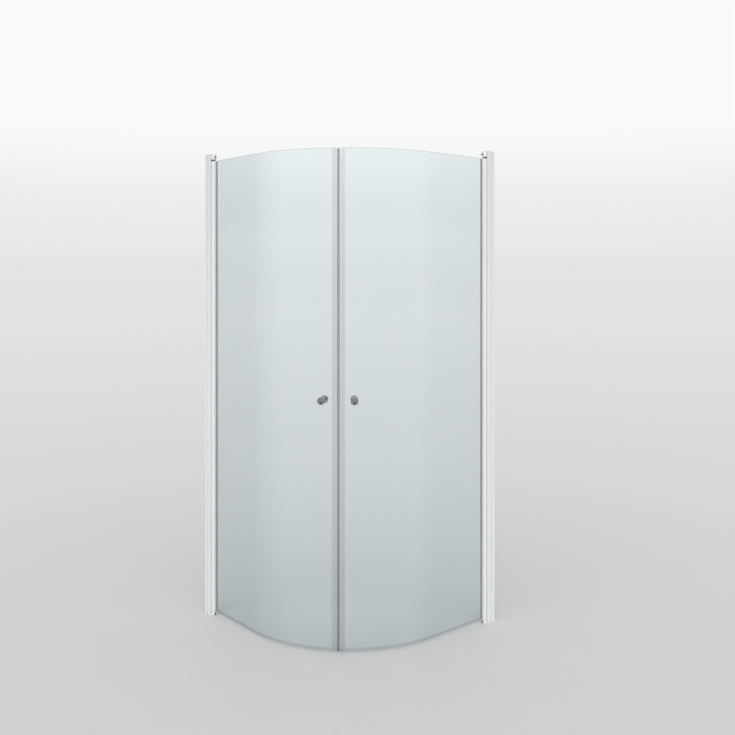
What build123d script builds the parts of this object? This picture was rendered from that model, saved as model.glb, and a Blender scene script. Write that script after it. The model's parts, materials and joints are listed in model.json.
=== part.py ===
from build123d import *
import os
from math import asin, atan, cos, degrees, radians, sin

# Curved corner shower enclosure, in millimetres.
# Two bent glass doors hang on round hinge columns at the two walls and meet on the diagonal.
# The left wall is the plane y = half_span, the right wall is x = half_span, z is up.
# The left half is drawn, and the right half is its mirror image about the diagonal plane.

# Enclosure
overall_height = 2000.0
wall_to_glass = 862.0
glass_radius = 517.0
glass_thickness = 6.0
running_gap = 0.3
touch_gap = 0.1
cut_overrun = 5.0

# Wall channel
channel_width = 28.0
channel_depth = 18.0
channel_wall = 1.8
wall_screw_hole = 5.5
wall_screw_count = 4
wall_screw_end = 145.0
channel_corner = 0.6

# Jamb profile, which slides in the channel to take up a wall that is out of plumb
profile_clearance = 0.2
profile_wall = 1.6
profile_back = 6.0
profile_lip_inset = 4.0
chamber_depth = 9.3

# Hinge axis, from the glass centre line and from the wall
hinge_outset = 12.0
hinge_from_wall = 48.0

# Hinge column with its glass groove
column_radius = 10.5
column_bore_radius = 7.0
column_stand = 1.0
column_gap = 1.0
end_cap_thickness = 1.5
groove_gasket = 0.8
groove_floor_inset = 1.0
groove_inset = 1.5
groove_wall = 1.8
groove_flange = 2.2
column_corner = 0.8

# Bearing blocks
block_height = 14.0
top_block_height = 24.5
slit_height = 7.5
neck_width = 11.0
plug_clearance = 0.2
plug_length = 45.0
boss_radius = 6.6
boss_reach = 13.0
block_bevel = 1.0
bush_seat_depth = 4.0
guide_screw_drop = 14.0

# Pivot pins, lifting bushes and the clip
pin_radius = 3.5
pin_clearance = 0.06
pin_flat = 2.6
pin_flat_length = 16.0
bottom_pin_start = 2.0
bottom_pin_reach = 40.0
bush_height = 24.0
cam_rise = 8.0
door_lift = 4.5
swing_angle = 90.0
collar_radius = 5.9
collar_thickness = 1.3
collar_clearance = 0.3
lift_pin_tail = 4.5
lift_pin_roof = 2.0
lift_pin_headroom = 6.0
clip_radius = 5.6
clip_thickness = 0.9
clip_groove = 0.7
clip_gap_width = 3.6
pin_chamfer = 0.5

# Screws and their covers
pin_screw_radius = 2.5
pin_screw_head_radius = 6.4
pin_screw_head_height = 3.6
pin_screw_head_rim = 0.8
small_screw_radius = 2.0
small_head_radius = 4.0
small_head_height = 2.0
small_head_bevel = 0.7
small_screw_length = 9.0
jamb_screw_count = 3
jamb_screw_end = 200.0
screw_cap_radius = 6.0
screw_cap_height = 3.6
screw_cap_wall = 1.0
screw_cap_bevel = 0.8
block_screw_inset = 11.0

# Top cover
cover_thickness = 2.0
cover_peg_depth = 8.0
cover_peg_inset = 3.0

# Lip seal in the jamb pocket
lip_seal_half_angle = 9.0
lip_seal_angle = 220.0

# Glazing gasket
gasket_base = 1.2
gasket_lip = 1.2
gasket_lip_proud = 0.5
glass_edge_chamfer = 0.6
glass_hang = 0.5
glass_rise = 2.0

# Magnetic seal on each meeting edge, as distances along the bend from the meeting line
seam_half_gap = 0.4
seal_width = 25.0
seal_glass_edge = 12.5
seal_chamber_start = 4.0
seal_face = 0.8
seal_wall = 1.1
seal_rib = 1.0
seal_fit = 0.1
seal_top_drop = 3.0
magnet_fit = 0.1

# Bottom seal
drip_setback = 7.8
drip_wall = 1.1
drip_grip = 9.0
drip_base = 1.2
wiper_tip = 1.0
wiper_root_width = 1.6
wiper_tip_width = 0.7
wiper_lean = 1.5
vane_reach = 9.0
vane_drop = 6.0
vane_thickness = 1.0
drip_end_gap = 0.3

# Door knobs
knob_from_seam = 62.0
knob_height = 986.0
knob_radius = 15.0
knob_base_radius = 11.0
knob_length = 29.0
knob_flare = 17.0
knob_edge = 1.2
knob_dish = 1.2
knob_dish_radius = 11.5
knob_thread_depth = 12.0
knob_stud_radius = 3.0
knob_hole_radius = 7.0
knob_washer_thickness = 0.8
knob_washer_radius = 10.0
knob_sleeve_clearance = 0.2

# Places worked out from the sizes above
half_span = (wall_to_glass + hinge_outset + channel_width / 2) / 2
glass_x = half_span - wall_to_glass
bend_centre = half_span - (wall_to_glass - glass_radius)
bend_start = wall_to_glass - glass_radius
seam_angle = 45.0
glass_half = glass_thickness / 2
profile_width = channel_width - 2 * channel_wall - 2 * profile_clearance
profile_lip = hinge_from_wall - profile_lip_inset
jamb_top = overall_height - cover_thickness
pocket_radius = column_radius + column_gap
profile_web = hinge_from_wall - pocket_radius - 2 * profile_wall - chamber_depth
block_bottom = overall_height - top_block_height
column_top = block_bottom - slit_height
column_bottom = block_height + column_stand
cam_height = block_height + cam_rise
plug_back = profile_web + profile_wall + plug_clearance
plug_front = hinge_from_wall - pocket_radius - profile_wall - plug_clearance
plug_width = profile_width - 2 * profile_wall - 2 * plug_clearance
lower_bush_radius = column_bore_radius - running_gap
cam_angle = degrees(atan(door_lift / (2 * lower_bush_radius * sin(radians(swing_angle / 2)))))
top_bush_top = column_top - end_cap_thickness
lift_pin_top = overall_height - lift_pin_roof - lift_pin_headroom
block_screw_rise = plug_length - block_screw_inset
groove_half = glass_half + groove_gasket
groove_floor = hinge_from_wall - groove_floor_inset
groove_mouth = hinge_from_wall + column_radius - groove_inset
glass_bottom = column_bottom - glass_hang
glass_top = column_top + glass_rise
seal_top = glass_top - seal_top_drop
seal_bottom = glass_bottom - drip_base
drip_start = groove_mouth + gasket_lip + drip_setback
guide_screw_height = overall_height - guide_screw_drop
knob_seat = glass_half + touch_gap + knob_washer_thickness
clip_height = top_bush_top - bush_height - touch_gap - clip_thickness

# Local axes at the left jamb: x is outward from the glass, y is away from the wall
jamb_plane = Plane(origin=(glass_x, half_span, 0), x_dir=(-1, 0, 0), z_dir=(0, 0, 1))
hinge_spot = (hinge_outset, hinge_from_wall)
outward = Vector(-1, 0, 0)
from_wall = Vector(0, -1, 0)
bend_axis = Axis((bend_centre, bend_centre, 0), (0, 0, 1))
mirror_plane = Plane(origin=(0, 0, 0), z_dir=(1, -1, 0))


def along(distance):
    """Angle that a distance along the bend spans."""
    return degrees(distance / glass_radius)


def jamb_point(outset, distance, height):
    """A point of the left jamb in the enclosure's own axes."""
    return jamb_plane.from_local_coords((outset, distance, height))


def facing_door(height, reach=0.0):
    """A plane on the hinge axis that looks away from the wall."""
    origin = jamb_point(hinge_outset, hinge_from_wall + reach, height)
    return Plane(origin=origin, x_dir=outward, z_dir=from_wall)


def facing_out(distance, height, outset):
    """A plane that looks outward from the glass, at a distance from the wall."""
    return Plane(origin=jamb_point(outset, distance, height), x_dir=(0, 0, 1), z_dir=outward)


def bend_band(inner_side, outer_side, start_angle, end_angle):
    """Plan of a band along the bend, between two offsets from the glass centre line."""
    centre = (-glass_radius, bend_start)
    sweep_angle = end_angle - start_angle
    with BuildSketch() as band:
        with BuildLine():
            inner_edge = CenterArc(centre, glass_radius + inner_side, start_angle, sweep_angle)
            outer_edge = CenterArc(centre, glass_radius + outer_side, start_angle, sweep_angle)
            Line(inner_edge @ 0, outer_edge @ 0)
            Line(inner_edge @ 1, outer_edge @ 1)
        make_face()
    return band.sketch


def strip(first_outset, last_outset, first_distance, last_distance):
    """Plan of a rectangle between two outsets and two distances from the wall."""
    with BuildSketch() as rectangle:
        with Locations(((first_outset + last_outset) / 2, (first_distance + last_distance) / 2)):
            Rectangle(last_outset - first_outset, last_distance - first_distance)
    return rectangle.sketch


def ring_sector(inner_radius, outer_radius, middle_angle, half_angle):
    """Plan of a short arc strip about the hinge axis."""
    with BuildSketch() as sector:
        with BuildLine():
            inner_edge = CenterArc(hinge_spot, inner_radius, middle_angle - half_angle, 2 * half_angle)
            outer_edge = CenterArc(hinge_spot, outer_radius, middle_angle - half_angle, 2 * half_angle)
            Line(inner_edge @ 0, outer_edge @ 0)
            Line(inner_edge @ 1, outer_edge @ 1)
        make_face()
    return sector.sketch


# Wall channel: a U that is screwed to the wall
channel_inner_side = hinge_outset - channel_width / 2
channel_outer_side = hinge_outset + channel_width / 2
wall_screw_spacing = (overall_height - 2 * wall_screw_end) / (wall_screw_count - 1)
jamb_screw_spacing = (overall_height - 2 * jamb_screw_end) / (jamb_screw_count - 1)
jamb_screw_from_wall = (profile_back + channel_depth) / 2

with BuildPart() as wall_channel:
    with BuildSketch(jamb_plane):
        add(strip(channel_inner_side, channel_outer_side, 0, channel_depth))
        add(
            strip(
                channel_inner_side + channel_wall,
                channel_outer_side - channel_wall,
                channel_wall,
                channel_depth + cut_overrun,
            ),
            mode=Mode.SUBTRACT,
        )
    extrude(amount=jamb_top)
    mouth_edges = wall_channel.edges().filter_by(Axis.Z).group_by(Axis.Y)[0]
    chamfer(mouth_edges, channel_corner)
    for number in range(wall_screw_count):
        height = wall_screw_end + number * wall_screw_spacing
        with BuildSketch(facing_door(height, -hinge_from_wall - cut_overrun)):
            Circle(wall_screw_hole / 2)
        extrude(amount=channel_wall + 2 * cut_overrun, mode=Mode.SUBTRACT)
    for number in range(jamb_screw_count):
        height = jamb_screw_end + number * jamb_screw_spacing
        with BuildSketch(facing_out(jamb_screw_from_wall, height, channel_inner_side - cut_overrun)):
            Circle(small_screw_radius)
        extrude(amount=channel_wall + 2 * cut_overrun, mode=Mode.SUBTRACT)

# Jamb profile: two legs in the channel, a web, and a hollow end that the hinge column turns in
profile_inner_side = hinge_outset - profile_width / 2
profile_outer_side = hinge_outset + profile_width / 2

with BuildPart() as jamb_profile:
    with BuildSketch(jamb_plane):
        add(strip(profile_inner_side, profile_outer_side, profile_back, profile_lip))
        with BuildSketch(mode=Mode.SUBTRACT):
            add(
                strip(
                    profile_inner_side + profile_wall,
                    profile_outer_side - profile_wall,
                    profile_web + profile_wall,
                    profile_lip,
                )
            )
            with Locations(hinge_spot):
                Circle(pocket_radius + profile_wall, mode=Mode.SUBTRACT)
        with Locations(hinge_spot):
            Circle(pocket_radius, mode=Mode.SUBTRACT)
        add(
            strip(
                profile_inner_side + profile_wall,
                profile_outer_side - profile_wall,
                profile_back,
                profile_web,
            ),
            mode=Mode.SUBTRACT,
        )
    extrude(amount=jamb_top)
    # Notches where the necks of the bearing blocks pass into the chamber
    for notch_bottom, notch_top in (
        (-cut_overrun, block_height + plug_clearance),
        (block_bottom - plug_clearance, jamb_top + cut_overrun),
    ):
        with BuildSketch(jamb_plane.offset(notch_bottom)):
            add(
                strip(
                    hinge_outset - neck_width / 2 - plug_clearance,
                    hinge_outset + neck_width / 2 + plug_clearance,
                    plug_back,
                    hinge_from_wall,
                )
            )
        extrude(amount=notch_top - notch_bottom, mode=Mode.SUBTRACT)
    for number in range(jamb_screw_count):
        height = jamb_screw_end + number * jamb_screw_spacing
        with BuildSketch(facing_out(jamb_screw_from_wall, height, profile_inner_side - cut_overrun)):
            Circle(small_screw_radius)
        extrude(amount=profile_wall + 2 * cut_overrun, mode=Mode.SUBTRACT)
    for height in (block_screw_rise, jamb_top - block_screw_rise):
        with BuildSketch(facing_out((plug_back + plug_front) / 2, height, profile_inner_side - cut_overrun)):
            Circle(small_screw_radius)
        extrude(amount=profile_wall + 2 * cut_overrun, mode=Mode.SUBTRACT)


def bearing_block(body_bottom, body_top, inner_top, plug_bottom, plug_top, screw_height):
    """Round bearing body, screw boss, neck and plug, before its bores are made."""
    with BuildPart() as block:
        with BuildSketch(jamb_plane.offset(body_bottom)):
            with Locations(hinge_spot):
                Circle(column_radius)
        extrude(amount=body_top - body_bottom)
        with BuildSketch(jamb_plane.offset(body_bottom)):
            add(
                strip(
                    hinge_outset - neck_width / 2,
                    hinge_outset + neck_width / 2,
                    plug_back,
                    hinge_from_wall,
                )
            )
        extrude(amount=inner_top - body_bottom)
        with BuildSketch(jamb_plane.offset(plug_bottom)):
            add(
                strip(
                    hinge_outset - plug_width / 2,
                    hinge_outset + plug_width / 2,
                    plug_back,
                    plug_front,
                )
            )
        extrude(amount=plug_top - plug_bottom)
        with BuildSketch(facing_door(screw_height)):
            Circle(boss_radius)
        extrude(amount=boss_reach)
        with BuildSketch(facing_door(screw_height)):
            Circle(pin_screw_radius)
        extrude(amount=boss_reach + cut_overrun, mode=Mode.SUBTRACT)
        tapped_height = block_screw_rise if plug_bottom == 0 else jamb_top - block_screw_rise
        with BuildSketch(facing_out((plug_back + plug_front) / 2, tapped_height, 0)):
            Circle(small_screw_radius)
        extrude(amount=small_screw_length + touch_gap, mode=Mode.SUBTRACT)
    return block.part


# Top bearing block, where the lift pin slides up and down
with BuildPart() as top_block:
    add(
        bearing_block(
            block_bottom,
            overall_height,
            jamb_top,
            jamb_top - plug_length,
            jamb_top,
            guide_screw_height,
        )
    )
    with BuildSketch(jamb_plane.offset(block_bottom)):
        with Locations(hinge_spot):
            Circle(pin_radius + pin_clearance)
    extrude(amount=overall_height - lift_pin_roof - block_bottom, mode=Mode.SUBTRACT)
    chamfer(top_block.edges().filter_by(GeomType.CIRCLE).sort_by(Axis.Z)[-1], block_bevel)

# Bottom bearing block, which stands on the floor and holds the fixed pin and bush
with BuildPart() as bottom_block:
    add(bearing_block(0, block_height, block_height, 0, plug_length, block_height / 2))
    with BuildSketch(jamb_plane.offset(bottom_pin_start)):
        with Locations(hinge_spot):
            Circle(pin_radius)
    extrude(amount=block_height, mode=Mode.SUBTRACT)
    with BuildSketch(jamb_plane.offset(block_height - bush_seat_depth)):
        with Locations(hinge_spot):
            Circle(lower_bush_radius)
    extrude(amount=bush_seat_depth + cut_overrun, mode=Mode.SUBTRACT)

# Pin screws: large domed heads on the bosses, their tips on the flats of the pins
dome_height = pin_screw_head_height - pin_screw_head_rim
dome_radius = (pin_screw_head_radius**2 + dome_height**2) / (2 * dome_height)
dome_angle = degrees(asin(pin_screw_head_radius / dome_radius))
with BuildPart() as pin_screws:
    for height in (block_height / 2, guide_screw_height):
        head_seat = jamb_point(hinge_outset, hinge_from_wall + boss_reach, height)
        with BuildSketch(Plane(origin=head_seat, x_dir=from_wall, z_dir=outward)):
            with BuildLine():
                Line((0, 0), (pin_screw_head_height, 0))
                CenterArc((pin_screw_head_height - dome_radius, 0), dome_radius, 0, dome_angle)
                Line((pin_screw_head_rim, pin_screw_head_radius), (0, pin_screw_head_radius))
                Line((0, pin_screw_head_radius), (0, 0))
            make_face()
        revolve(axis=Axis(head_seat, from_wall))
        with BuildSketch(facing_door(height, pin_flat + pin_clearance)):
            Circle(pin_screw_radius)
        extrude(amount=boss_reach - pin_flat - pin_clearance)

# Block screws, driven from inside through the jamb profile into the plugs
with BuildPart() as block_screws:
    for height in (block_screw_rise, jamb_top - block_screw_rise):
        distance = (plug_back + plug_front) / 2
        with BuildSketch(facing_out(distance, height, profile_inner_side - small_head_height)):
            Circle(small_head_radius)
        extrude(amount=small_head_height)
        with BuildSketch(facing_out(distance, height, profile_inner_side)):
            Circle(small_screw_radius)
        extrude(amount=small_screw_length)
    chamfer(
        block_screws.faces().filter_by(Axis.X).group_by(Axis.X)[-1].edges(),
        small_head_bevel,
    )

# Jamb screws, which set how far the profile stands out of the channel
with BuildPart() as jamb_screws:
    for number in range(jamb_screw_count):
        height = jamb_screw_end + number * jamb_screw_spacing
        with BuildSketch(
            facing_out(jamb_screw_from_wall, height, channel_inner_side - small_head_height)
        ):
            Circle(small_head_radius)
        extrude(amount=small_head_height)
        with BuildSketch(facing_out(jamb_screw_from_wall, height, channel_inner_side)):
            Circle(small_screw_radius)
        extrude(amount=small_screw_length)

# Screw caps over the heads of the jamb screws
with BuildPart() as screw_caps:
    for number in range(jamb_screw_count):
        height = jamb_screw_end + number * jamb_screw_spacing
        with BuildSketch(
            facing_out(jamb_screw_from_wall, height, channel_inner_side - screw_cap_height)
        ):
            Circle(screw_cap_radius)
        extrude(amount=screw_cap_height)
    chamfer(
        screw_caps.faces().filter_by(Axis.X).group_by(Axis.X)[-1].edges(),
        screw_cap_bevel,
    )
    for number in range(jamb_screw_count):
        height = jamb_screw_end + number * jamb_screw_spacing
        cap_floor = channel_inner_side - screw_cap_height + screw_cap_wall
        with BuildSketch(facing_out(jamb_screw_from_wall, height, cap_floor)):
            Circle(screw_cap_radius - screw_cap_wall)
        extrude(amount=screw_cap_height, mode=Mode.SUBTRACT)

# Top cover, which closes the channel and the jamb profile around the bearing block
with BuildPart() as top_cover:
    with BuildSketch(jamb_plane.offset(jamb_top)):
        add(strip(channel_inner_side, channel_outer_side, 0, profile_lip))
        with Locations(hinge_spot):
            Circle(column_radius + running_gap, mode=Mode.SUBTRACT)
    extrude(amount=cover_thickness)
    with BuildSketch(jamb_plane.offset(jamb_top - cover_peg_depth)):
        add(
            strip(
                profile_inner_side + cover_peg_inset,
                profile_outer_side - cover_peg_inset,
                profile_back,
                profile_web - profile_clearance,
            )
        )
    extrude(amount=cover_peg_depth)
    fillet(top_cover.faces().sort_by(Axis.Z)[-1].edges().filter_by(GeomType.LINE), cover_thickness / 3)

# Lip seal, a soft strip in the pocket wall beside the column
with BuildPart() as lip_seal:
    with BuildSketch(jamb_plane.offset(block_height + running_gap)):
        add(
            ring_sector(
                column_radius + running_gap,
                pocket_radius - touch_gap,
                lip_seal_angle,
                lip_seal_half_angle,
            )
        )
    extrude(amount=block_bottom - block_height - 2 * running_gap)

# Bottom pin, fixed in the lower block, that the door turns on
with BuildPart() as bottom_pin:
    with BuildSketch(jamb_plane.offset(bottom_pin_start)):
        with Locations(hinge_spot):
            Circle(pin_radius)
    extrude(amount=block_height + bottom_pin_reach - bottom_pin_start)
    chamfer(bottom_pin.edges().sort_by(Axis.Z)[-1], pin_chamfer)
    with BuildSketch(jamb_plane.offset(bottom_pin_start)):
        add(
            strip(
                hinge_outset - pin_radius,
                hinge_outset + pin_radius,
                hinge_from_wall + pin_flat,
                hinge_from_wall + pin_radius + cut_overrun,
            )
        )
    extrude(amount=block_height - bush_seat_depth - bottom_pin_start, mode=Mode.SUBTRACT)


def cam_cut_plane(height):
    """The slanted plane of the lifting bushes, highest on the wall side."""
    middle = jamb_point(hinge_outset, hinge_from_wall, height)
    return Plane(origin=middle, x_dir=outward, z_dir=(0, 0, 1)).rotated((-cam_angle, 0, 0))


# Lower lifting bush: seated in the bottom block, with a slanted top that the door rides up on
with BuildPart() as lower_bush:
    with BuildSketch(jamb_plane.offset(block_height - bush_seat_depth)):
        with Locations(hinge_spot):
            Circle(lower_bush_radius)
            Circle(pin_radius, mode=Mode.SUBTRACT)
    extrude(amount=2 * cam_height)
    split(bisect_by=cam_cut_plane(cam_height), keep=Keep.BOTTOM)

# Upper lifting bush: pressed into the column, with the same slant on its underside
with BuildPart() as upper_bush:
    with BuildSketch(jamb_plane):
        with Locations(hinge_spot):
            Circle(column_bore_radius)
            Circle(pin_radius + pin_clearance, mode=Mode.SUBTRACT)
    extrude(amount=cam_height + bush_height)
    split(bisect_by=cam_cut_plane(cam_height + running_gap), keep=Keep.TOP)

# Top bush, pressed into the column, that turns on the lift pin
with BuildPart() as top_bush:
    with BuildSketch(jamb_plane.offset(top_bush_top - bush_height)):
        with Locations(hinge_spot):
            Circle(column_bore_radius)
            Circle(pin_radius + pin_clearance, mode=Mode.SUBTRACT)
    extrude(amount=bush_height)

# Lift pin: it rises in the top block with the door but doesn't turn
lift_pin_bottom = clip_height - lift_pin_tail
with BuildPart() as lift_pin:
    with BuildSketch(jamb_plane.offset(lift_pin_bottom)):
        with Locations(hinge_spot):
            Circle(pin_radius)
    extrude(amount=lift_pin_top - lift_pin_bottom)
    chamfer(lift_pin.edges().filter_by(GeomType.CIRCLE), pin_chamfer)
    with BuildSketch(jamb_plane.offset(top_bush_top + touch_gap)):
        with Locations(hinge_spot):
            Circle(collar_radius)
    extrude(amount=collar_thickness)
    with BuildSketch(jamb_plane.offset(clip_height)):
        with Locations(hinge_spot):
            Circle(pin_radius + cut_overrun)
            Circle(pin_radius - clip_groove, mode=Mode.SUBTRACT)
    extrude(amount=clip_thickness, mode=Mode.SUBTRACT)
    with BuildSketch(jamb_plane.offset(lift_pin_top - pin_flat_length)):
        add(
            strip(
                hinge_outset - pin_radius,
                hinge_outset + pin_radius,
                hinge_from_wall + pin_flat,
                hinge_from_wall + pin_radius + cut_overrun,
            )
        )
    extrude(amount=pin_flat_length + cut_overrun, mode=Mode.SUBTRACT)

# Clip under the top bush, which carries the pin up with the door
with BuildPart() as pin_clip:
    with BuildSketch(jamb_plane.offset(clip_height)):
        with Locations(hinge_spot):
            Circle(clip_radius)
            Circle(pin_radius - clip_groove, mode=Mode.SUBTRACT)
        add(
            strip(
                hinge_outset - clip_gap_width / 2,
                hinge_outset + clip_gap_width / 2,
                hinge_from_wall,
                hinge_from_wall + clip_radius,
            ),
            mode=Mode.SUBTRACT,
        )
    extrude(amount=clip_thickness)

# Hinge column: a thick tube with a groove for the glass along its inner side
with BuildPart() as hinge_column:
    with BuildSketch(jamb_plane.offset(column_bottom + end_cap_thickness)):
        with Locations(hinge_spot):
            Circle(column_radius)
        add(
            strip(
                -groove_half - groove_flange,
                hinge_outset - column_bore_radius,
                groove_floor - groove_wall,
                groove_mouth,
            )
        )
        with Locations(hinge_spot):
            Circle(column_bore_radius, mode=Mode.SUBTRACT)
        add(
            strip(-groove_half, groove_half, groove_floor, groove_mouth + cut_overrun),
            mode=Mode.SUBTRACT,
        )
    extrude(amount=column_top - column_bottom - 2 * end_cap_thickness)
    flange_edges = hinge_column.edges().filter_by(Axis.Z).group_by(Axis.X)[-1]
    fillet(flange_edges, column_corner)

# End caps: bearing rings on the two ends of the column, cut away beside the glass
with BuildPart() as end_caps:
    for cap_bottom, hole_radius in (
        (column_bottom, column_bore_radius),
        (top_bush_top, collar_radius + collar_clearance),
    ):
        with BuildSketch(jamb_plane.offset(cap_bottom)):
            with Locations(hinge_spot):
                Circle(column_radius)
                Circle(hole_radius, mode=Mode.SUBTRACT)
            add(
                strip(
                    -groove_half,
                    groove_half + touch_gap,
                    hinge_from_wall - column_radius,
                    hinge_from_wall + column_radius,
                ),
                mode=Mode.SUBTRACT,
            )
        extrude(amount=end_cap_thickness)

# Glazing gasket: a soft U round the glass edge, with a lip that shows at the groove's mouth
with BuildPart() as glass_gasket:
    with BuildSketch(jamb_plane.offset(column_bottom)):
        add(strip(-groove_half, groove_half, groove_floor, groove_mouth))
        add(
            strip(
                -groove_half - gasket_lip_proud,
                groove_half + gasket_lip_proud,
                groove_mouth,
                groove_mouth + gasket_lip,
            )
        )
        add(
            strip(
                -glass_half,
                glass_half,
                groove_floor + gasket_base,
                groove_mouth + gasket_lip + cut_overrun,
            ),
            mode=Mode.SUBTRACT,
        )
    extrude(amount=column_top - column_bottom)

# Knob axis, square to the bent glass
knob_angle = seam_angle - along(knob_from_seam)
knob_direction = Vector(-cos(radians(knob_angle)), -sin(radians(knob_angle)), 0)
knob_point = Vector(bend_centre, bend_centre, knob_height) + knob_direction * glass_radius
knob_plane = Plane(origin=knob_point, x_dir=(0, 0, 1), z_dir=knob_direction)
knob_section_plane = Plane(
    origin=knob_point,
    x_dir=knob_direction,
    z_dir=knob_direction.cross(Vector(0, 0, 1)),
)
knob_axis = Axis(knob_point, knob_direction)

# Glass: a flat stretch from the column, then the bend up to the meeting line
with BuildPart() as glass:
    with BuildSketch(jamb_plane.offset(glass_bottom)):
        add(strip(-glass_half, glass_half, groove_floor + gasket_base, bend_start))
        add(bend_band(-glass_half, glass_half, 0, seam_angle - along(seal_glass_edge)))
    extrude(amount=glass_top - glass_bottom)
    chamfer(glass.faces().sort_by(Axis.Z)[-1].edges(), glass_edge_chamfer)
    with BuildSketch(knob_plane):
        Circle(knob_hole_radius)
    extrude(amount=glass_thickness, both=True, mode=Mode.SUBTRACT)

# Magnetic seal: a clear profile with a grip on the glass edge, an air chamber and a magnet chamber
seal_half = glass_half + seal_fit + seal_wall
chamber_half = glass_half + seal_fit
with BuildPart() as magnet_seal:
    with BuildSketch(jamb_plane.offset(seal_bottom)):
        add(
            bend_band(
                -seal_half,
                seal_half,
                seam_angle - along(seal_width),
                seam_angle - along(seam_half_gap),
            )
        )
        for hollow_start, hollow_end in (
            (seal_width + cut_overrun, seal_glass_edge - seal_fit),
            (seal_glass_edge - seal_fit - seal_rib, seal_chamber_start + seal_rib),
            (seal_chamber_start, seam_half_gap + seal_face),
        ):
            add(
                bend_band(
                    -chamber_half,
                    chamber_half,
                    seam_angle - along(hollow_start),
                    seam_angle - along(hollow_end),
                ),
                mode=Mode.SUBTRACT,
            )
    extrude(amount=seal_top - seal_bottom)

# Magnet strip in the chamber of the seal
with BuildPart() as magnet_strip:
    with BuildSketch(jamb_plane.offset(seal_bottom)):
        add(
            bend_band(
                -chamber_half + magnet_fit,
                chamber_half - magnet_fit,
                seam_angle - along(seal_chamber_start - magnet_fit),
                seam_angle - along(seam_half_gap + seal_face + magnet_fit),
            )
        )
    extrude(amount=seal_top - seal_bottom)

# Bottom seal: a grip on the glass edge, a wiper to the floor and a drip vane on the inside
bend_plane = Plane(
    origin=jamb_point(0, bend_start, 0), x_dir=outward, z_dir=(0, 1, 0)
)
drip_half = glass_half + seal_fit + drip_wall
drip_floor = seal_bottom - drip_base
grip_top = glass_bottom + drip_grip


def drip_run(section, end_angle):
    """Carries a section along the flat stretch and round the bend to an angle."""
    with BuildPart() as run:
        with BuildSketch(bend_plane) as placed:
            add(section)
        extrude(amount=bend_start - drip_start)
        revolve(placed.sketch, axis=bend_axis, revolution_arc=end_angle)
    return run.part


with BuildSketch() as grip_section:
    with Locations((0, (drip_floor + grip_top) / 2)):
        Rectangle(2 * drip_half, grip_top - drip_floor)
    with Locations((0, (glass_bottom + grip_top + cut_overrun) / 2)):
        Rectangle(
            2 * (glass_half + seal_fit),
            grip_top + cut_overrun - glass_bottom,
            mode=Mode.SUBTRACT,
        )

with BuildSketch() as wiper_section:
    with Locations((0, drip_floor + drip_base / 2)):
        Rectangle(2 * drip_half, drip_base)
    with BuildLine():
        Polyline(
            (-wiper_root_width / 2, drip_floor),
            (wiper_root_width / 2, drip_floor),
            (wiper_lean + wiper_tip_width / 2, wiper_tip),
            (wiper_lean - wiper_tip_width / 2, wiper_tip),
            close=True,
        )
    make_face()
    with BuildLine():
        Polyline(
            (-drip_half, drip_floor),
            (-drip_half, drip_floor + vane_thickness),
            (-drip_half - vane_reach, drip_floor - vane_drop),
            (-drip_half - vane_reach, drip_floor - vane_drop - vane_thickness / 2),
            close=True,
        )
    make_face()

with BuildPart() as bottom_seal:
    add(drip_run(grip_section.sketch, seam_angle - along(seal_width + drip_end_gap)))
    add(drip_run(wiper_section.sketch, seam_angle - along(seam_half_gap)))


def knob(side):
    """A flared round knob on one side of the glass, 1 outside and -1 inside."""
    seat = side * knob_seat
    face = side * (knob_seat + knob_length)
    flare_end = seat + side * knob_flare
    with BuildPart() as turned:
        with BuildSketch(knob_section_plane):
            with BuildLine():
                Line((seat, 0), (seat, knob_base_radius))
                TangentArc((seat, knob_base_radius), (flare_end, knob_radius), tangent=(side, 0))
                Line((flare_end, knob_radius), (face - side * knob_edge, knob_radius))
                Line((face - side * knob_edge, knob_radius), (face, knob_radius - knob_edge))
                Line((face, knob_radius - knob_edge), (face, knob_dish_radius))
                Line((face, knob_dish_radius), (face - side * knob_dish, 0))
                Line((face - side * knob_dish, 0), (seat, 0))
            make_face()
        revolve(axis=knob_axis)
        with BuildSketch(knob_plane.offset(seat)):
            Circle(knob_stud_radius)
        extrude(amount=side * knob_thread_depth, mode=Mode.SUBTRACT)
    return turned.part


# Knobs, a pair through the glass
with BuildPart() as outer_knob:
    add(knob(1))
with BuildPart() as inner_knob:
    add(knob(-1))

# Stud that pulls the two knobs together
stud_half = knob_seat + knob_thread_depth - touch_gap
with BuildPart() as knob_stud:
    with BuildSketch(knob_plane.offset(-stud_half)):
        Circle(knob_stud_radius)
    extrude(amount=2 * stud_half)

# Soft washers and the sleeve that keep the metal off the glass
with BuildPart() as knob_washers:
    for side in (1, -1):
        with BuildSketch(knob_plane.offset(side * (glass_half + touch_gap))):
            Circle(knob_washer_radius)
            Circle(knob_stud_radius, mode=Mode.SUBTRACT)
        extrude(amount=side * knob_washer_thickness)
    with BuildSketch(knob_plane.offset(-glass_half)):
        Circle(knob_hole_radius - knob_sleeve_clearance)
        Circle(knob_stud_radius, mode=Mode.SUBTRACT)
    extrude(amount=glass_thickness + touch_gap)

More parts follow.
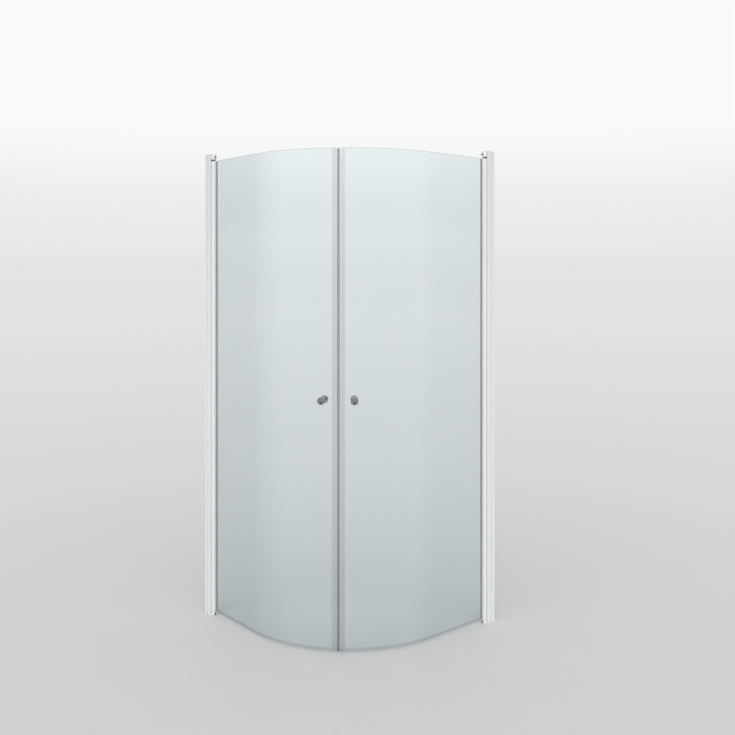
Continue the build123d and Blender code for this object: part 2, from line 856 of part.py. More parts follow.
# Every piece of the left half, and its mirror image for the right half
os.makedirs("parts", exist_ok=True)
half_pieces = {
    "wall_channel": wall_channel,
    "jamb_profile": jamb_profile,
    "top_cover": top_cover,
    "top_block": top_block,
    "bottom_block": bottom_block,
    "pin_screws": pin_screws,
    "block_screws": block_screws,
    "jamb_screws": jamb_screws,
    "screw_caps": screw_caps,
    "lip_seal": lip_seal,
    "bottom_pin": bottom_pin,
    "lower_bush": lower_bush,
    "upper_bush": upper_bush,
    "top_bush": top_bush,
    "lift_pin": lift_pin,
    "pin_clip": pin_clip,
    "hinge_column": hinge_column,
    "end_caps": end_caps,
    "glass_gasket": glass_gasket,
    "glass": glass,
    "magnet_seal": magnet_seal,
    "magnet_strip": magnet_strip,
    "bottom_seal": bottom_seal,
    "outer_knob": outer_knob,
    "inner_knob": inner_knob,
    "knob_stud": knob_stud,
    "knob_washers": knob_washers,
}
for piece_name, piece in half_pieces.items():
    piece.part.label = "left_" + piece_name
    export_step(piece.part, "parts/left_" + piece_name + ".step")
    with BuildPart() as mirrored:
        mirror(piece.part, about=mirror_plane)
    mirrored.part.label = "right_" + piece_name
    export_step(mirrored.part, "parts/right_" + piece_name + ".step")
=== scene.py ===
import json
from math import asin, cos, pi, radians, sin, sqrt

import bmesh
import bpy
from mathutils import Matrix, Vector


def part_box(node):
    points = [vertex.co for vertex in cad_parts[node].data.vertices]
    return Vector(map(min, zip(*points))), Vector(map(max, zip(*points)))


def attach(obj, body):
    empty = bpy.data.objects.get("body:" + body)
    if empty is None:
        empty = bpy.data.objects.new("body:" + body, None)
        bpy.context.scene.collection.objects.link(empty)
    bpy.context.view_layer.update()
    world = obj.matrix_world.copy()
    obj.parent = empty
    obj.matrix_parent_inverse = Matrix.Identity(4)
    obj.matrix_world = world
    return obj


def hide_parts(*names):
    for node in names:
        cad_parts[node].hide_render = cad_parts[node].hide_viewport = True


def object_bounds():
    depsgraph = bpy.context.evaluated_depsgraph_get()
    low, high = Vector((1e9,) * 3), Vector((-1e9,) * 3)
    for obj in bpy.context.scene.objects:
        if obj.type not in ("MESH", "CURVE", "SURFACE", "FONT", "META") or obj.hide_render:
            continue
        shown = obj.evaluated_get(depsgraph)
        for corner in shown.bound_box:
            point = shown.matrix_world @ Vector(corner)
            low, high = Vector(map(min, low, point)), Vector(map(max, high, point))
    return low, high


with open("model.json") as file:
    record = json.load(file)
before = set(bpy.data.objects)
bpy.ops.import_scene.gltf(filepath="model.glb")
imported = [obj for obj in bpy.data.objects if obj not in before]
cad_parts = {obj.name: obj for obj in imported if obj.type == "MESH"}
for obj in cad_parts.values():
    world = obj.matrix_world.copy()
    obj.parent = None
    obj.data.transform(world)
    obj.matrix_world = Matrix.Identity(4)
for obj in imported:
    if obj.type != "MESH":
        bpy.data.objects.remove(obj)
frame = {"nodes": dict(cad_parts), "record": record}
cad_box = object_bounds()
nodes = frame["nodes"]
SIDES = ("left", "right")

# Driving dimensions in metres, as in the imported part
WALL_PLANE = cad_box[1].y
WALL_TO_GLASS = 0.862
GLASS_RADIUS = 0.517
GLASS_HALF = 0.003
GLASS_START = 0.0482
GLASS_END_GAP = 0.0125
GLASS_ARRIS = 0.0006
SEAM_ANGLE = 45.0
KNOB_FROM_SEAM = 0.062
KNOB_HEIGHT = 0.986
KNOB_HOLE_RADIUS = 0.007

# Places that follow from them
BEND_START = WALL_TO_GLASS - GLASS_RADIUS
BEND_CENTRE = WALL_PLANE - BEND_START
GLASS_X = WALL_PLANE - WALL_TO_GLASS
SEAM_DISTANCE = BEND_START + GLASS_RADIUS * radians(SEAM_ANGLE)


def turned(x, y, side):
    """A plan point of the left half, or its mirror image for the right half."""
    return (x, y) if side == "left" else (y, x)


def door_point(distance, offset, height, side):
    """A point at a distance along the glass from the wall, and an offset outward from its middle."""
    if distance <= BEND_START:
        x, y = GLASS_X - offset, WALL_PLANE - distance
    else:
        angle = (distance - BEND_START) / GLASS_RADIUS
        reach = GLASS_RADIUS + offset
        x, y = BEND_CENTRE - reach * cos(angle), BEND_CENTRE - reach * sin(angle)
    x, y = turned(x, y, side)
    return Vector((x, y, height))


# Mesh helpers
WELD_DISTANCE = 1e-7
SHARP_ANGLE = 20.0
TURNING_STEPS = 96
DRILL_STEPS = 64


def finish_mesh(name, vertices, faces, body, replaced):
    """Makes a smooth object of a closed mesh, with its normals outward, and sets it on its body."""
    mesh = bpy.data.meshes.new(name)
    mesh.from_pydata([tuple(v) for v in vertices], [], faces)
    grid = bmesh.new()
    grid.from_mesh(mesh)
    bmesh.ops.remove_doubles(grid, verts=grid.verts, dist=WELD_DISTANCE)
    bmesh.ops.recalc_face_normals(grid, faces=grid.faces)
    grid.to_mesh(mesh)
    grid.free()
    for polygon in mesh.polygons:
        polygon.use_smooth = True
    piece = bpy.data.objects.new(name, mesh)
    bpy.context.scene.collection.objects.link(piece)
    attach(piece, body)
    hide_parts(*replaced)
    return piece


def sweep(name, section, stations, side, body, replaced):
    """Carries a closed section of (offset, height) points along the door."""
    vertices, faces, count = [], [], len(section)
    for distance in stations:
        vertices += [door_point(distance, offset, height, side) for offset, height in section]
    for ring in range(len(stations) - 1):
        for k in range(count):
            a, b = ring * count + k, ring * count + (k + 1) % count
            faces.append((a, b, b + count, a + count))
    last = (len(stations) - 1) * count
    faces.append(tuple(range(count)))
    faces.append(tuple(last + k for k in range(count)))
    return finish_mesh(name, vertices, faces, body, replaced)


def lathe(name, profile_at, places, axis, body, replaced, segments=TURNING_STEPS):
    """Turns a profile of (distance along the axis, radius) points, which may vary with the angle."""
    across = axis.orthogonal().normalized()
    other = axis.cross(across)
    vertices, faces = [], []
    for place in places:
        start, count = len(vertices), len(profile_at(0.0))
        for k in range(segments):
            angle = 2 * pi * k / segments
            radial = across * cos(angle) + other * sin(angle)
            vertices += [place + axis * along + radial * radius for along, radius in profile_at(angle)]
        for k in range(segments):
            following = (k + 1) % segments
            for j in range(count - 1):
                a, b = start + k * count + j, start + following * count + j
                faces.append((a, b, b + 1, a + 1))
    return finish_mesh(name, vertices, faces, body, replaced)


def keep_edges(piece):
    """Keeps the edges sharp where two faces meet at more than the sharp angle."""
    grid = bmesh.new()
    grid.from_mesh(piece.data)
    flags = [edge.calc_face_angle(0.0) > radians(SHARP_ANGLE) for edge in grid.edges]
    grid.free()
    piece.data.attributes.new("sharp_edge", "BOOLEAN", "EDGE").data.foreach_set("value", flags)


def drill(piece, centre, direction, radius, depth):
    """Takes a round hole out of a piece."""
    grid = bmesh.new()
    turn = direction.to_track_quat("Z", "Y").to_matrix().to_4x4()
    bmesh.ops.create_cone(
        grid, cap_ends=True, segments=DRILL_STEPS, radius1=radius, radius2=radius, depth=depth,
        matrix=Matrix.Translation(centre) @ turn,
    )
    drill_mesh = bpy.data.meshes.new("drill")
    grid.to_mesh(drill_mesh)
    grid.free()
    drill_bit = bpy.data.objects.new("drill", drill_mesh)
    bpy.context.scene.collection.objects.link(drill_bit)
    cut = piece.modifiers.new("hole", "BOOLEAN")
    cut.operation = "DIFFERENCE"
    cut.solver = "EXACT"
    cut.object = drill_bit
    bpy.context.view_layer.update()
    solid = piece.evaluated_get(bpy.context.evaluated_depsgraph_get())
    drilled = bpy.data.meshes.new_from_object(solid)
    piece.modifiers.remove(cut)
    piece.data = drilled
    bpy.data.objects.remove(drill_bit)


# Material helpers
PATTERN_LOW = 0.3
PATTERN_HIGH = 0.7
# Painted shade in narrow gaps and corners: how far the occlusion looks, and where it starts and ends
CREASE_REACH = 0.012
CREASE_CLOSED = 0.05
CREASE_OPEN = 0.50


class Surface:
    """A material with a Principled shader and the nodes that vary it over the surface."""

    def __init__(self, name):
        self.material = bpy.data.materials.new(name)
        self.material.use_nodes = True
        self.tree = self.material.node_tree
        self.tree.nodes.clear()
        self.shader = self.make("ShaderNodeBsdfPrincipled")
        self.output = self.make("ShaderNodeOutputMaterial")
        self.join(self.shader.outputs["BSDF"], self.output.inputs["Surface"])
        self.place = self.make("ShaderNodeTexCoord").outputs["Object"]

    def make(self, kind, **values):
        """Adds a node and sets its properties."""
        made = self.tree.nodes.new(kind)
        for key, value in values.items():
            setattr(made, key, value)
        return made

    def join(self, source, target):
        """Links an output of one node to an input of another."""
        self.tree.links.new(source, target)

    def set(self, **values):
        """Sets the shader's own sockets, where an underscore stands for a space."""
        for key, value in values.items():
            self.shader.inputs[key.replace("_", " ")].default_value = value

    def noise(self, scale, detail=3.0, rough=0.5, stretch=(1, 1, 1)):
        """A noise pattern of a scale per metre, stretched along the axes."""
        mapping = self.make("ShaderNodeMapping")
        mapping.inputs["Scale"].default_value = stretch
        self.join(self.place, mapping.inputs["Vector"])
        pattern = self.make("ShaderNodeTexNoise")
        pattern.inputs["Scale"].default_value = scale
        pattern.inputs["Detail"].default_value = detail
        pattern.inputs["Roughness"].default_value = rough
        self.join(mapping.outputs["Vector"], pattern.inputs["Vector"])
        return pattern.outputs["Fac"]

    def spread(self, source, low=0.0, high=1.0, start=PATTERN_LOW, end=PATTERN_HIGH):
        """Carries the values of a pattern from start to end over to values from low to high."""
        span = self.make("ShaderNodeMapRange")
        span.inputs["From Min"].default_value = start
        span.inputs["From Max"].default_value = end
        span.inputs["To Min"].default_value = low
        span.inputs["To Max"].default_value = high
        self.join(source, span.inputs["Value"])
        return span.outputs["Result"]

    def blend(self, factor, first, second):
        """Mixes two colours, given as values or as outputs of nodes."""
        mix = self.make("ShaderNodeMix", data_type="RGBA")
        sockets = {socket.identifier: socket for socket in mix.inputs}
        for key, colour in (("A_Color", first), ("B_Color", second)):
            if isinstance(colour, tuple):
                sockets[key].default_value = (*colour, 1)
            else:
                self.join(colour, sockets[key])
        self.join(factor, sockets["Factor_Float"])
        return next(s for s in mix.outputs if s.identifier == "Result_Color")

    def painted_crease_shade(self, colour, shade, reach=CREASE_REACH):
        """Paints shade: darkens a colour in narrow gaps and corners, where less light reaches."""
        corner = self.make("ShaderNodeAmbientOcclusion")
        corner.inputs["Distance"].default_value = reach
        open_air = self.spread(corner.outputs["AO"], start=CREASE_CLOSED, end=CREASE_OPEN)
        return self.blend(open_air, shade, colour)

    def paint(self, colour):
        """Gives the shader its base colour."""
        self.join(colour, self.shader.inputs["Base Color"])

    def finish(self, pattern, roughness):
        """Roughness that follows a pattern from the first value to the second."""
        self.join(self.spread(pattern, *roughness), self.shader.inputs["Roughness"])

    def bump(self, source, depth, strength):
        """Raises the surface by a pattern, to a depth in metres."""
        bump = self.make("ShaderNodeBump")
        bump.inputs["Strength"].default_value = strength
        bump.inputs["Distance"].default_value = depth
        self.join(source, bump.inputs["Height"])
        self.join(bump.outputs["Normal"], self.shader.inputs["Normal"])


def scaled(colour, share):
    """A colour times a share."""
    return tuple(share * value for value in colour)


# Kinds of material: each takes its two tones, which its pattern mixes, and its range of roughness
# Painted shade colour for gaps and corners of the satin metal
CREASE_SHADE = (0.10, 0.10, 0.105)
LINE_SHARES = (0.93, 1.06)
# Share of its tone that polished metal keeps in its painted hollow shade
HOLLOW_SHADE_SHARE = 0.15
CLEAR_SHADE = (0.975, 0.985, 0.985)
# Where the glass's darkening towards grazing views, mostly painted shade, starts and ends
SLANT_START = 0.20
SLANT_END = 0.50
GLASS_INDEX = 1.5
CUT_CLEARNESS = 0.35
GLASS_EDGE_HEIGHT = 0.0145
EDGE_FADE = 0.001


def drawn_metal(name, first, second, roughness, metallic):
    """Satin anodised extrusion with fine drawn lines along its length, and painted shade in its gaps
    and corners.
    """
    surface = Surface(name)
    surface.set(Metallic=metallic)
    streaks = surface.noise(scale=2200.0, rough=0.6, stretch=(1, 1, 0.002))
    clouds = surface.noise(scale=7.0, stretch=(1, 1, 0.25))

    def clouded(share):
        return surface.blend(surface.spread(clouds), scaled(first, share), scaled(second, share))

    darker, lighter = [clouded(share) for share in LINE_SHARES]
    lines = surface.blend(surface.spread(streaks), darker, lighter)
    # Painted shade: the lines darken in narrow gaps and corners
    surface.paint(surface.painted_crease_shade(lines, CREASE_SHADE))
    surface.finish(streaks, roughness)
    surface.bump(streaks, depth=0.00002, strength=0.5)
    return surface.material


def moulded(name, first, second, roughness, metallic=0.0, gap_shade_share=0.35):
    """Moulded or cast surface with a fine grain, and painted shade in its gaps and corners."""
    surface = Surface(name)
    surface.set(Metallic=metallic)
    fine = surface.noise(scale=1800.0, rough=0.6)
    broad = surface.noise(scale=60.0)
    colour = surface.blend(surface.spread(broad), first, second)
    # Painted shade: darker in narrow gaps and corners, to a share of the first tone
    surface.paint(surface.painted_crease_shade(colour, scaled(first, gap_shade_share)))
    surface.finish(fine, roughness)
    surface.bump(fine, depth=0.00003, strength=0.3)
    return surface.material


def polished(name, first, second, roughness, reach=0.02):
    """Polished plated metal with the faintest haze, and painted shade in its hollows."""
    surface = Surface(name)
    surface.set(Metallic=1.0)
    haze = surface.noise(scale=220.0, detail=4.0, rough=0.6)
    colour = surface.blend(surface.spread(haze), first, second)
    # Painted shade: darker in the hollows, to a share of the first tone
    surface.paint(surface.painted_crease_shade(colour, scaled(first, HOLLOW_SHADE_SHARE), reach))
    surface.finish(haze, roughness)
    return surface.material


def let_light_through(surface):
    """Lets the lamps shine through a clear piece, so that it casts only a faint shadow."""
    path = surface.make("ShaderNodeLightPath")
    clear = surface.make("ShaderNodeBsdfTransparent")
    clear.inputs["Color"].default_value = (*CLEAR_SHADE, 1)
    mix = surface.make("ShaderNodeMixShader")
    surface.join(path.outputs["Is Shadow Ray"], mix.inputs["Fac"])
    surface.join(surface.shader.outputs["BSDF"], mix.inputs[1])
    surface.join(clear.outputs["BSDF"], mix.inputs[2])
    surface.join(mix.outputs["Shader"], surface.output.inputs["Surface"])


def bent_clear_glass(name, first, second, roughness, slant_tint_and_shade):
    """Toughened glass: a faint blue-green, darker towards grazing views, a little from the longer path
    through the glass and mostly as painted shade.
    """
    surface = Surface(name)
    surface.set(IOR=GLASS_INDEX, Transmission_Weight=1.0)
    haze = surface.noise(scale=5.0)
    colour = surface.blend(surface.spread(haze), first, second)
    facing = surface.make("ShaderNodeLayerWeight").outputs["Facing"]
    # Painted shade, with a little of the longer path through the glass: darker towards grazing views
    slant_shade_share = surface.spread(facing, start=SLANT_START, end=SLANT_END)
    surface.paint(surface.blend(slant_shade_share, colour, slant_tint_and_shade))
    surface.finish(haze, roughness)
    let_light_through(surface)
    return surface.material


def cut_glass(name, first, second, roughness):
    """Ground and polished cut edge of the glass, greener and less clear than its faces."""
    surface = Surface(name)
    surface.set(IOR=GLASS_INDEX, Transmission_Weight=CUT_CLEARNESS)
    grain = surface.noise(scale=1400.0, rough=0.6)
    surface.paint(surface.blend(surface.spread(grain), first, second))
    surface.finish(grain, roughness)
    let_light_through(surface)
    return surface.material


def clear_profile(name, first, second, roughness, below, index):
    """Clear soft extrusion: almost unseen over the glass, and another tone below the glass edge."""
    surface = Surface(name)
    surface.set(IOR=index, Transmission_Weight=1.0)
    lines = surface.noise(scale=900.0, stretch=(1, 1, 0.004))
    colour = surface.blend(surface.spread(lines), first, second)
    parts = surface.make("ShaderNodeSeparateXYZ")
    surface.join(surface.place, parts.inputs["Vector"])
    above = surface.spread(
        parts.outputs["Z"], start=GLASS_EDGE_HEIGHT - EDGE_FADE, end=GLASS_EDGE_HEIGHT
    )
    surface.paint(surface.blend(above, below, colour))
    surface.finish(lines, roughness)
    let_light_through(surface)
    return surface.material


# Finishes: most are named as the record's material slots
SATIN_TONES = ((0.90, 0.905, 0.905), (0.92, 0.925, 0.925))
SATIN_METALLIC = 0.25
SOFT_INDEX = 1.06
SOFT_ROUGHNESS = (0.02, 0.06)
materials = {
    "profile_aluminium": drawn_metal("satin_aluminium", *SATIN_TONES, (0.34, 0.46), SATIN_METALLIC),
    "block_metal": moulded("satin_blocks", *SATIN_TONES, (0.42, 0.52), SATIN_METALLIC),
    "chrome": polished("polished_chrome", (0.30, 0.30, 0.303), (0.33, 0.33, 0.333), (0.05, 0.10)),
    "screw_heads": polished(
        "screw_heads", (0.50, 0.50, 0.503), (0.55, 0.55, 0.553), (0.08, 0.14), reach=0.006
    ),
    "steel": polished("plain_steel", (0.47, 0.475, 0.475), (0.53, 0.535, 0.535), (0.22, 0.34)),
    "cover_plastic": moulded("pale_cover", (0.82, 0.825, 0.825), (0.85, 0.855, 0.855), (0.40, 0.52)),
    "bush_plastic": moulded("natural_bush", (0.80, 0.80, 0.76), (0.84, 0.84, 0.81), (0.45, 0.58)),
    "grey_rubber": moulded("grey_lip", (0.40, 0.41, 0.41), (0.46, 0.47, 0.47), (0.55, 0.70)),
    # The gasket keeps more of its tone in its painted gap shade
    "dark_rubber": moulded(
        "dark_gasket", (0.48, 0.485, 0.49), (0.53, 0.535, 0.54), (0.50, 0.66), gap_shade_share=0.60
    ),
    "clear_glass": bent_clear_glass(
        "clear_glass", (0.895, 0.962, 0.98), (0.905, 0.969, 0.986), (0.0, 0.003),
        # The colour towards grazing views, mostly painted shade
        slant_tint_and_shade=(0.67, 0.73, 0.75),
    ),
    "cut_edge": cut_glass("cut_glass_edge", (0.52, 0.60, 0.59), (0.57, 0.64, 0.63), (0.25, 0.40)),
    "clear_plastic": clear_profile(
        "clear_profile", (0.93, 0.935, 0.935), (0.955, 0.958, 0.958), SOFT_ROUGHNESS,
        below=(0.93, 0.935, 0.938), index=SOFT_INDEX,
    ),
    "seal_profile": clear_profile(
        "seal_profile", (0.895, 0.90, 0.903), (0.92, 0.924, 0.926), SOFT_ROUGHNESS,
        below=(0.895, 0.90, 0.903), index=SOFT_INDEX,
    ),
    "magnet": moulded("flexible_magnet", (0.15, 0.145, 0.14), (0.19, 0.18, 0.175), (0.5, 0.65)),
    "clear_washer": clear_profile(
        "clear_washer", (0.80, 0.83, 0.83), (0.84, 0.86, 0.86), SOFT_ROUGHNESS,
        below=(0.50, 0.53, 0.55), index=1.3,
    ),
}


def dress(piece, material):
    """Gives a piece one material on all its faces."""
    piece.data.materials.clear()
    piece.data.materials.append(materials[material])


def dress_nodes():
    """Gives each carried-over node the finish of its slot, and the magnetic seals their own."""
    slot_of = {part["node"]: part["material_slot"] for part in frame["record"]["subparts"]}
    for name, node in nodes.items():
        dress(node, slot_of[name])
    for side in SIDES:
        dress(nodes[side + "_magnet_seal"], "seal_profile")


def knob_axis(side):
    """Where the knobs' axis crosses the middle of the glass, and its direction outward."""
    distance = SEAM_DISTANCE - KNOB_FROM_SEAM
    centre = door_point(distance, 0.0, KNOB_HEIGHT, side)
    return centre, (door_point(distance, 1.0, KNOB_HEIGHT, side) - centre).normalized()


# Bent glass, with ground and polished edges and a hole for the knobs
FLAT_STEPS = 12
BEND_STEPS = 72
LEVEL_SHARE = 0.5
DRILL_DEPTH = 8 * GLASS_HALF


def glass_stations():
    """Distances along the pane, far apart on the flat stretch and close together on the bend."""
    flat_length = BEND_START - GLASS_START
    bend_length = SEAM_DISTANCE - GLASS_END_GAP - BEND_START
    flat = [GLASS_START + flat_length * k / FLAT_STEPS for k in range(FLAT_STEPS)]
    return flat + [BEND_START + bend_length * k / BEND_STEPS for k in range(BEND_STEPS + 1)]


def make_glass(side):
    """A pane whose faces are clear, and whose upper, lower and end faces are cut glass."""
    low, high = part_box(side + "_glass")
    half, inner = GLASS_HALF, GLASS_HALF - GLASS_ARRIS
    bottom, top = low.z, high.z
    section = [
        (-half, bottom + GLASS_ARRIS), (-inner, bottom), (inner, bottom), (half, bottom + GLASS_ARRIS),
        (half, top - GLASS_ARRIS), (inner, top), (-inner, top), (-half, top - GLASS_ARRIS),
    ]
    piece = sweep(
        side + "_bent_glass", section, glass_stations(), side, side + "_door", [side + "_glass"]
    )
    dress(piece, "clear_glass")
    piece.data.materials.append(materials["cut_edge"])
    ends = len(piece.data.polygons) - 2
    for polygon in piece.data.polygons:
        if abs(polygon.normal.z) > LEVEL_SHARE or polygon.index >= ends:
            polygon.material_index = 1
    drill(piece, *knob_axis(side), KNOB_HOLE_RADIUS, DRILL_DEPTH)
    keep_edges(piece)


# Chrome knobs, turned in one piece, with a flaring neck, a bevelled rim and a dished face
KNOB_SEAT = 0.0039
KNOB_BASE = 0.011
KNOB_RIM = 0.015
KNOB_LENGTH = 0.029
KNOB_FLARE = 0.017
KNOB_EDGE = 0.0012
KNOB_DISH = 0.0012
KNOB_DISH_RADIUS = 0.0115
KNOB_STEPS = 16


def knob_profile():
    """The knob's outline from its seat on the washer, as (distance along the axis, radius) points."""
    rise = KNOB_RIM - KNOB_BASE
    neck_radius = (KNOB_FLARE**2 + rise**2) / (2 * rise)
    neck_angle = asin(KNOB_FLARE / neck_radius)
    face = KNOB_SEAT + KNOB_LENGTH
    profile = [(KNOB_SEAT, 0.0)]
    for k in range(KNOB_STEPS + 1):
        angle = neck_angle * k / KNOB_STEPS
        profile.append(
            (KNOB_SEAT + neck_radius * sin(angle), KNOB_BASE + neck_radius * (1 - cos(angle)))
        )
    for k in range(KNOB_STEPS // 2 + 1):
        angle = pi * k / KNOB_STEPS
        profile.append(
            (face - KNOB_EDGE * (1 - sin(angle)), KNOB_RIM - KNOB_EDGE * (1 - cos(angle)))
        )
    for k in range(KNOB_STEPS, -1, -1):
        share = k / KNOB_STEPS
        profile.append((face - KNOB_DISH * (1 + cos(pi * share)) / 2, KNOB_DISH_RADIUS * share))
    return profile


def make_knobs(side):
    """The pair of knobs, one outside and one inside the glass."""
    centre, outward = knob_axis(side)
    profile = knob_profile()
    for name, way in (("outer_knob", 1), ("inner_knob", -1)):
        piece = lathe(
            side + "_" + name + "_turned", lambda angle: profile, [centre], outward * way,
            side + "_door", [side + "_" + name],
        )
        dress(piece, "chrome")


# Screws that lock the hinge pins: domed heads with a hexagon socket
PIN_HEAD_RADIUS = 0.0064
PIN_HEAD_HEIGHT = 0.0036
PIN_HEAD_RIM = 0.0008
PIN_SHAFT_RADIUS = 0.0025
SOCKET_HALF = 0.002
SOCKET_DEPTH = 0.0022
DOME_STEPS = 8
SCREW_STEPS = 72


def make_pin_screws(side):
    """The upper and lower pin screws, as one piece."""
    low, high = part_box(side + "_pin_screws")
    away = Vector((*turned(0.0, -1.0, side), 0.0))
    reach = abs((high - low).dot(away))
    seat = (low + high) / 2 + away * (reach / 2 - PIN_HEAD_HEIGHT)
    shaft = reach - PIN_HEAD_HEIGHT
    rise = PIN_HEAD_HEIGHT - PIN_HEAD_RIM
    ball = (PIN_HEAD_RADIUS**2 + rise**2) / (2 * rise)

    def profile_at(angle):
        """Shaft, dome and socket, whose mouth is a hexagon as the angle goes round."""
        corner = pi / 3
        mouth = SOCKET_HALF / cos((angle + corner / 2) % corner - corner / 2)
        points = [(-shaft, 0.0), (-shaft, PIN_SHAFT_RADIUS)]
        points += [(0.0, PIN_SHAFT_RADIUS), (0.0, PIN_HEAD_RADIUS)]
        for k in range(DOME_STEPS + 1):
            radius = PIN_HEAD_RADIUS + (mouth - PIN_HEAD_RADIUS) * k / DOME_STEPS
            points.append((PIN_HEAD_HEIGHT - ball + sqrt(ball**2 - radius**2), radius))
        bottom = PIN_HEAD_HEIGHT - SOCKET_DEPTH
        return points + [(bottom, mouth), (bottom, 0.0)]

    heights = (low.z + PIN_HEAD_RADIUS, high.z - PIN_HEAD_RADIUS)
    places = [Vector((seat.x, seat.y, height)) for height in heights]
    piece = lathe(
        side + "_socket_screws", profile_at, places, away, "root", [side + "_pin_screws"], SCREW_STEPS
    )
    keep_edges(piece)
    dress(piece, "screw_heads")


# Studio: pale floor that fades into a pale background
HORIZON = (0.77, 0.772, 0.775)
HAZE = (0.82, 0.822, 0.825)
SKY = (0.95, 0.952, 0.955)
SKY_STOPS = ((0.0, HORIZON), (0.05, HAZE), (0.18, SKY))
DARK_WALL = (0.20, 0.20, 0.205)
PALE_WALL = (0.80, 0.805, 0.81)
CEILING = (0.97, 0.975, 0.98)
MIRROR_STOPS = (
    (0.0, HORIZON), (0.09, DARK_WALL), (0.24, DARK_WALL), (0.45, PALE_WALL), (0.7, CEILING),
)
AMBIENT = (0.98, 0.99, 1.0)
AMBIENT_STRENGTH = 0.56
FLOOR_COLOUR = (0.66, 0.663, 0.665)
FLOOR_GRAIN_SHARE = 1.01
FLOOR_SIZE = 400.0
FLOOR_ROUGHNESS = 0.6
FLOOR_GLOSS = 0.2
FADE_REACH = 24.0
FADE_STOPS = ((0.05, 0.0), (0.13, 0.40), (0.35, 0.67), (1.0, 1.0))
SOFTBOX_ANGLE = 60.0
SOFTBOX_STRENGTH = 0.98
SOFTBOXES = {"left_softbox": (-3.0, -0.8, 2.4), "right_softbox": (-0.8, -3.0, 2.4)}


def set_ramp(ramp, stops):
    """Fills a colour ramp with (position, colour or grey) stops."""
    while len(ramp.elements) < len(stops):
        ramp.elements.new(position=0.5)
    for element, (position, colour) in zip(ramp.elements, stops):
        element.position = position
        element.color = (*colour, 1) if isinstance(colour, tuple) else (colour, colour, colour, 1)


def make_floor():
    """A wide floor that keeps the shadow near the door and takes on the horizon's tone further out."""
    bpy.ops.mesh.primitive_grid_add(x_subdivisions=2, y_subdivisions=2, size=FLOOR_SIZE)
    floor = bpy.context.object
    floor.name = "studio_floor"
    surface = Surface("studio_floor")
    surface.set(Roughness=FLOOR_ROUGHNESS, Specular_IOR_Level=FLOOR_GLOSS)
    grain = surface.noise(scale=3.0, detail=4.0)
    lighter = scaled(FLOOR_COLOUR, FLOOR_GRAIN_SHARE)
    surface.paint(surface.blend(surface.spread(grain), FLOOR_COLOUR, lighter))
    reach = surface.make("ShaderNodeVectorMath", operation="LENGTH")
    surface.join(surface.place, reach.inputs[0])
    far = surface.spread(reach.outputs["Value"], start=0.0, end=FADE_REACH)
    fade = surface.make("ShaderNodeValToRGB")
    fade.color_ramp.interpolation = "B_SPLINE"
    set_ramp(fade.color_ramp, FADE_STOPS)
    surface.join(far, fade.inputs["Fac"])
    glow = surface.make("ShaderNodeEmission")
    glow.inputs["Color"].default_value = (*HORIZON, 1)
    mix = surface.make("ShaderNodeMixShader")
    surface.join(fade.outputs["Color"], mix.inputs["Fac"])
    surface.join(surface.shader.outputs["BSDF"], mix.inputs[1])
    surface.join(glow.outputs["Emission"], mix.inputs[2])
    surface.join(mix.outputs["Shader"], surface.output.inputs["Surface"])
    floor.data.materials.append(surface.material)


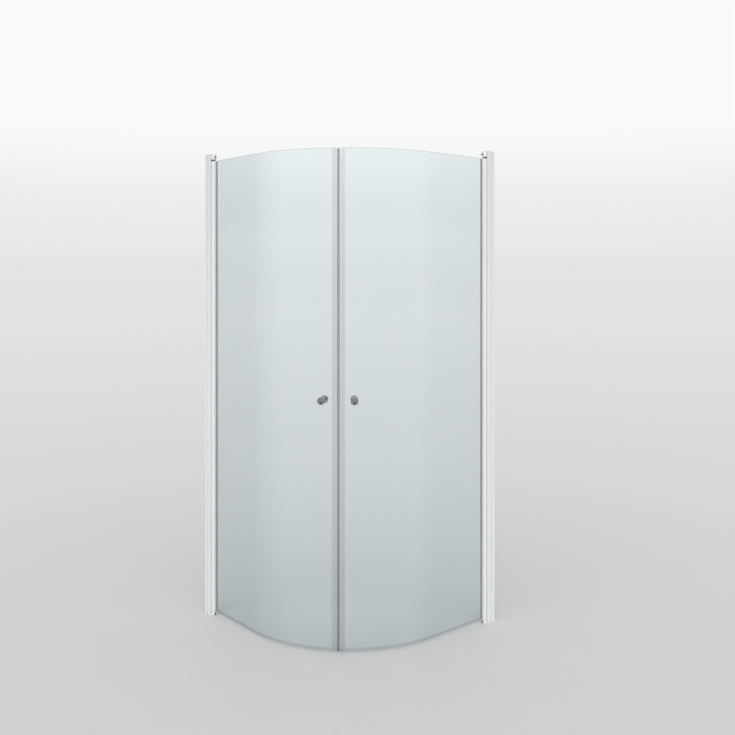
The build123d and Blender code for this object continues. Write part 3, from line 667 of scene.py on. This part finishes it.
def make_world():
    """Pale backdrop for what is seen, a room with a dark wall for reflections, and plain light."""
    world = bpy.data.worlds.new("studio")
    bpy.context.scene.world = world
    world.use_nodes = True
    tree = world.node_tree
    tree.nodes.clear()
    output = tree.nodes.new("ShaderNodeOutputWorld")
    direction = tree.nodes.new("ShaderNodeTexCoord").outputs["Generated"]
    parts = tree.nodes.new("ShaderNodeSeparateXYZ")
    tree.links.new(direction, parts.inputs["Vector"])
    path = tree.nodes.new("ShaderNodeLightPath")

    def backdrop(stops):
        """A background whose tone follows the height of the direction."""
        ramp = tree.nodes.new("ShaderNodeValToRGB")
        ramp.color_ramp.interpolation = "EASE"
        set_ramp(ramp.color_ramp, stops)
        tree.links.new(parts.outputs["Z"], ramp.inputs["Fac"])
        shader = tree.nodes.new("ShaderNodeBackground")
        tree.links.new(ramp.outputs["Color"], shader.inputs["Color"])
        return shader.outputs["Background"]

    def choose(factor, otherwise, chosen):
        """One shader or another, by a factor of 0 or 1."""
        mix = tree.nodes.new("ShaderNodeMixShader")
        tree.links.new(factor, mix.inputs["Fac"])
        tree.links.new(otherwise, mix.inputs[1])
        tree.links.new(chosen, mix.inputs[2])
        return mix.outputs["Shader"]

    ambient = tree.nodes.new("ShaderNodeBackground")
    ambient.inputs["Color"].default_value = (*AMBIENT, 1)
    ambient.inputs["Strength"].default_value = AMBIENT_STRENGTH
    plain = ambient.outputs["Background"]
    reflected = choose(path.outputs["Is Glossy Ray"], plain, backdrop(MIRROR_STOPS))
    seen = tree.nodes.new("ShaderNodeMath")
    seen.operation = "MAXIMUM"
    tree.links.new(path.outputs["Is Camera Ray"], seen.inputs[0])
    tree.links.new(path.outputs["Is Transmission Ray"], seen.inputs[1])
    shown = choose(seen.outputs["Value"], reflected, backdrop(SKY_STOPS))
    tree.links.new(shown, output.inputs["Surface"])


def soft_lamp(name, direction):
    """A large even softbox, far away, that shines from a direction and isn't mirrored itself."""
    lamp = bpy.data.lights.new(name, "SUN")
    lamp.angle = radians(SOFTBOX_ANGLE)
    lamp.energy = SOFTBOX_STRENGTH
    piece = bpy.data.objects.new(name, lamp)
    piece.location = direction
    piece.rotation_euler = Vector(direction).to_track_quat("Z", "Y").to_euler()
    piece.visible_glossy = False
    piece.visible_transmission = False
    bpy.context.scene.collection.objects.link(piece)


# Camera: level, with the picture shifted down to hold the whole door
CAMERA_PLACE = (-2.400, -2.9303, 1.4693)
CAMERA_HEADING = -40.59
FOCAL_PIXELS = 876.1
HORIZON_ROW = 276.25
FRAME_PIXELS = 735.0
SENSOR = 36.0


def make_camera():
    """The photograph's view, in a square frame."""
    camera_data = bpy.data.cameras.new("photo_camera")
    camera_data.sensor_width = SENSOR
    camera_data.lens = FOCAL_PIXELS / FRAME_PIXELS * SENSOR
    camera_data.shift_y = -(FRAME_PIXELS / 2 - HORIZON_ROW) / FRAME_PIXELS
    camera = bpy.data.objects.new("photo_camera", camera_data)
    camera.location = CAMERA_PLACE
    camera.rotation_euler = (radians(90), 0, radians(CAMERA_HEADING))
    bpy.context.scene.collection.objects.link(camera)
    bpy.context.scene.camera = camera


dress_nodes()
for make_pieces in (make_glass, make_knobs, make_pin_screws):
    for side_name in SIDES:
        make_pieces(side_name)
make_floor()
make_world()
for lamp_name, lamp_direction in SOFTBOXES.items():
    soft_lamp(lamp_name, lamp_direction)
make_camera()
bpy.context.scene.view_settings.view_transform = "Standard"
